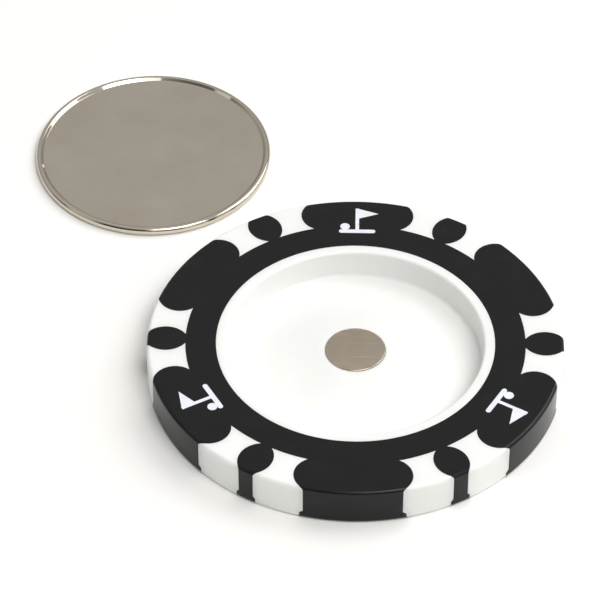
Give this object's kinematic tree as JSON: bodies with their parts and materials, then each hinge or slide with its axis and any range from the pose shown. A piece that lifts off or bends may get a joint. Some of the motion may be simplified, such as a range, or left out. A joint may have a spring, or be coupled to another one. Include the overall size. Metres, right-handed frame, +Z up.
{
  "type": "golf ball marker",
  "caption": "Poker-chip holder with a magnet in a round recess and a loose dished steel disc that marks a golf ball's place and snaps into the recess.",
  "frame": {"origin": "centre of the chip's underside, on the surface that it lies on", "axes": "+Z up out of the recess; +Y through the first rim mark; the marker disc lies beside the chip, behind and to the left"},
  "size_m": [0.0529, 0.0625, 0.004],
  "materials": {
    "white_abs": "smooth moulded white ABS",
    "black_abs": "fine satin moulded black ABS",
    "mark_fill": "white enamel fill, satin",
    "magnet_nickel": "nickel plate with fine handling scratches",
    "clear_glue": "cured adhesive",
    "marker_nickel": "nickel-plated steel, bright rim and satin faces"
  },
  "bodies": {
    "holder": {"holder_core": "white_abs", "holder_overmould": "black_abs", "rim_mark_1": "mark_fill", "rim_mark_2": "mark_fill", "rim_mark_3": "mark_fill", "holder_magnet": "magnet_nickel", "magnet_glue": "clear_glue"},
    "marker": {"marker_disc": "marker_nickel"}
  },
  "joints": [
    {"name": "marker_flip", "type": "hinge", "parent": "holder", "child": "marker", "pos_m": [-0.01049, 0.01526, 0.00175], "axis": [0.8241, 0.5664, 0], "range_deg": [0, 180]}
  ]
}
